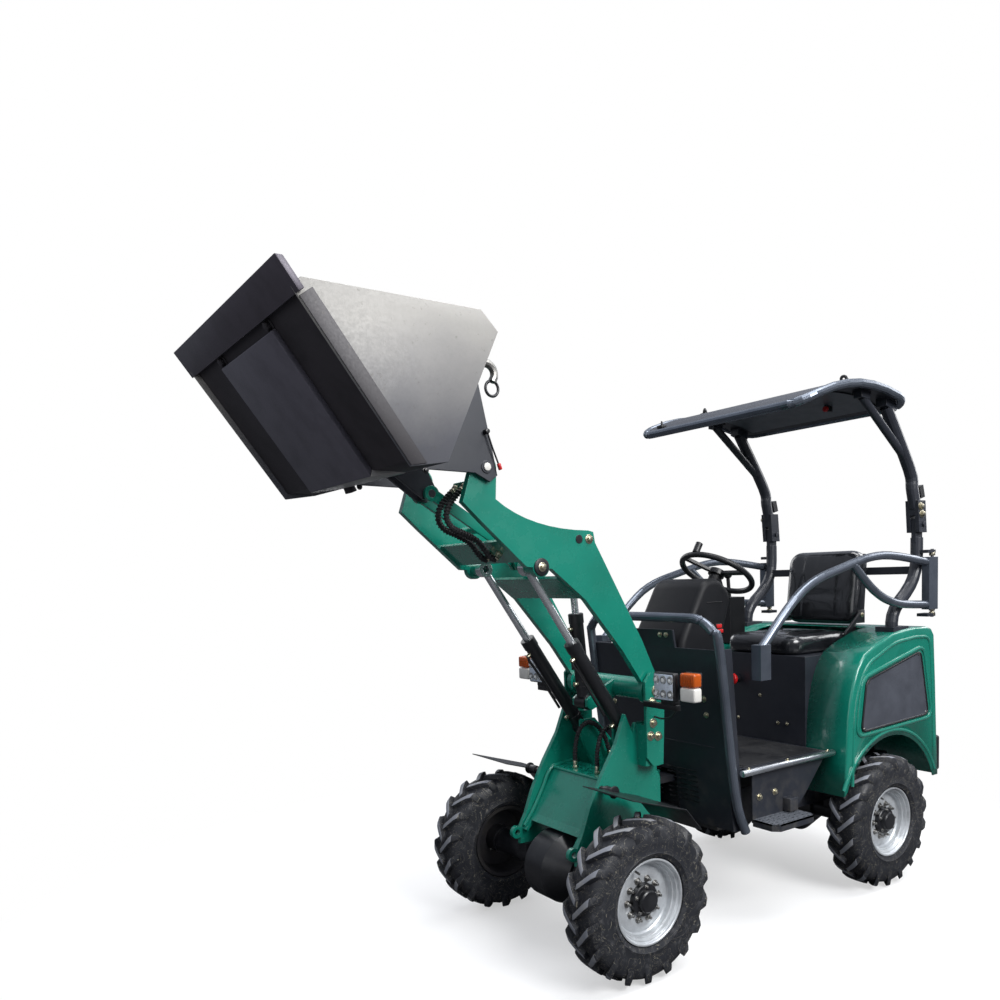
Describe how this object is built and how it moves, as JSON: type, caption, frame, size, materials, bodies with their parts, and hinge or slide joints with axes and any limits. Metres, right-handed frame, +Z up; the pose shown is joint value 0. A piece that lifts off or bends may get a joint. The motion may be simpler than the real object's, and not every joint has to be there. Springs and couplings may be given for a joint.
{
  "type": "articulated compact wheel loader",
  "caption": "Compact articulated wheel loader with canopy, side gates, hydraulic loader arm, tilt linkage and curled bucket on lugged tyres.",
  "frame": {"origin": "on the ground under the middle of the machine's box", "axes": "+X forward, +Y to the machine's left, +Z up"},
  "size_m": [3.4684, 1.184, 2.4548],
  "materials": {
    "green_paint": "gloss",
    "charcoal_paint": "satin",
    "black_paint": "satin",
    "black_plastic": "matte",
    "black_vinyl": "gloss",
    "tyre_rubber": "matte",
    "hose_rubber": "matte",
    "silver_paint": "satin",
    "chromed_rod": "polished",
    "worn_steel": "worn"
  },
  "bodies": {
    "rear_frame": {"rear_chassis": "charcoal_paint", "rear_axle": "black_paint", "power_unit": "black_paint", "platform": "charcoal_paint", "side_steps": "charcoal_paint", "front_cowl": "charcoal_paint", "cowl_hoop": "charcoal_paint", "dash": "black_plastic", "steering_wheel": "black_plastic", "control_box": "black_plastic", "seat_box": "charcoal_paint", "seat_cushion": "black_vinyl", "seat_back": "black_vinyl", "hood": "green_paint", "hood_grilles": "black_paint", "rear_bumper": "black_plastic", "post_feet": "charcoal_paint", "rear_posts": "charcoal_paint"},
    "canopy": {"canopy_frame": "charcoal_paint", "canopy_roof": "charcoal_paint", "canopy_rim": "charcoal_paint", "canopy_lamps": "black_plastic"},
    "left_gate": {"gate_left": "charcoal_paint"},
    "right_gate": {"gate_right": "charcoal_paint"},
    "front_frame": {"tower_sides": "green_paint", "tower_cross": "green_paint", "tower_hoses": "hose_rubber", "front_axle": "black_paint", "pivot_plates": "green_paint", "front_lamps": "black_plastic", "front_fenders": "black_paint"},
    "front_left_wheel": {"tyre_fl": "tyre_rubber", "rim_fl": "silver_paint"},
    "front_right_wheel": {"tyre_fr": "tyre_rubber", "rim_fr": "silver_paint"},
    "rear_left_wheel": {"tyre_rl": "tyre_rubber", "rim_rl": "silver_paint"},
    "rear_right_wheel": {"tyre_rr": "tyre_rubber", "rim_rr": "silver_paint"},
    "loader_arm": {"boom": "green_paint", "boom_hoses": "hose_rubber"},
    "left_lift_barrel": {"lift_barrel_l": "black_paint"},
    "left_lift_rod": {"lift_rod_l": "chromed_rod"},
    "right_lift_barrel": {"lift_barrel_r": "black_paint"},
    "right_lift_rod": {"lift_rod_r": "chromed_rod"},
    "tilt_rocker": {"rocker": "green_paint"},
    "bucket_link": {"tilt_link": "green_paint"},
    "tilt_cylinder": {"tilt_barrel": "black_paint"},
    "tilt_piston": {"tilt_rod": "chromed_rod"},
    "bucket_tool": {"bucket": "worn_steel", "coupler": "charcoal_paint"}
  },
  "joints": [
    {"name": "steering", "type": "hinge", "parent": "rear_frame", "child": "front_frame", "pos_m": [-0.11421, 0, 0.52], "axis": [0, 0, 1], "range_deg": [-35, 35]},
    {"name": "canopy_fold", "type": "hinge", "parent": "rear_frame", "child": "canopy", "pos_m": [-1.58421, 0, 1.76], "axis": [0, -1, 0], "range_deg": [0, 100]},
    {"name": "left_gate_hinge", "type": "hinge", "parent": "rear_frame", "child": "left_gate", "pos_m": [-1.62921, 0.51, 1.46], "axis": [0, 0, 1], "range_deg": [0, 100]},
    {"name": "right_gate_hinge", "type": "hinge", "parent": "rear_frame", "child": "right_gate", "pos_m": [-1.62921, -0.51, 1.46], "axis": [0, 0, -1], "range_deg": [0, 100]},
    {"name": "front_left_roll", "type": "hinge", "parent": "front_frame", "child": "front_left_wheel", "pos_m": [0.40079, 0.488, 0.32], "axis": [0, 1, 0], "continuous": true},
    {"name": "front_right_roll", "type": "hinge", "parent": "front_frame", "child": "front_right_wheel", "pos_m": [0.40079, -0.488, 0.32], "axis": [0, 1, 0], "continuous": true},
    {"name": "rear_left_roll", "type": "hinge", "parent": "rear_frame", "child": "rear_left_wheel", "pos_m": [-1.18921, 0.488, 0.32], "axis": [0, 1, 0], "continuous": true},
    {"name": "rear_right_roll", "type": "hinge", "parent": "rear_frame", "child": "rear_right_wheel", "pos_m": [-1.18921, -0.488, 0.32], "axis": [0, 1, 0], "continuous": true},
    {"name": "boom_lift", "type": "hinge", "parent": "front_frame", "child": "loader_arm", "pos_m": [0.08079, 0, 1.068], "axis": [0, -1, 0], "range_deg": [-82, 3]},
    {"name": "bucket_tilt", "type": "hinge", "parent": "loader_arm", "child": "bucket_tool", "pos_m": [0.88579, 0, 1.962], "axis": [0, 1, 0], "range_deg": [-42, 88]},
    {"name": "rocker_turn", "type": "hinge", "parent": "loader_arm", "child": "tilt_rocker", "pos_m": [0.44979, 0, 1.697], "axis": [0, 1, 0], "range_deg": [-42.01, 88.01]},
    {"name": "link_turn", "type": "hinge", "parent": "tilt_rocker", "child": "bucket_link", "pos_m": [0.55496, 0, 1.62059], "axis": [0, -1, 0], "range_deg": [-42.01, 88.01]},
    {"name": "tilt_barrel_swing", "type": "hinge", "parent": "loader_arm", "child": "tilt_cylinder", "pos_m": [0.24579, 0, 1.01], "axis": [0, 1, 0], "range_deg": [-2.66, 5.56]},
    {"name": "tilt_rod_slide", "type": "slide", "parent": "tilt_cylinder", "child": "tilt_piston", "axis": [0.0923, 0, 0.9957], "range_m": [-0.09312, 0.195]},
    {"name": "left_lift_swing", "type": "hinge", "parent": "front_frame", "child": "left_lift_barrel", "pos_m": [0.14579, 0.155, 0.87], "axis": [0, -1, 0], "range_deg": [-83.54, 3.07]},
    {"name": "left_lift_slide", "type": "slide", "parent": "left_lift_barrel", "child": "left_lift_rod", "axis": [0.5625, 0, 0.8268], "range_m": [-0.27288, 0.01008]},
    {"name": "right_lift_swing", "type": "hinge", "parent": "front_frame", "child": "right_lift_barrel", "pos_m": [0.14579, -0.155, 0.87], "axis": [0, -1, 0], "range_deg": [-83.54, 3.07]},
    {"name": "right_lift_slide", "type": "slide", "parent": "right_lift_barrel", "child": "right_lift_rod", "axis": [0.5625, 0, 0.8268], "range_m": [-0.27288, 0.01008]}
  ],
  "couplings": [
    {"joint": "rocker_turn", "follows": "bucket_tilt", "ratio": 1},
    {"joint": "link_turn", "follows": "bucket_tilt", "ratio": 1},
    {"joint": "tilt_barrel_swing", "follows": "bucket_tilt", "ratio": 0.0631},
    {"joint": "tilt_rod_slide", "follows": "bucket_tilt", "m_per_rad": 0.1269},
    {"joint": "left_lift_swing", "follows": "boom_lift", "ratio": 1.0186},
    {"joint": "left_lift_slide", "follows": "boom_lift", "m_per_rad": 0.1906},
    {"joint": "right_lift_swing", "follows": "boom_lift", "ratio": 1.0186},
    {"joint": "right_lift_slide", "follows": "boom_lift", "m_per_rad": 0.1906}
  ]
}
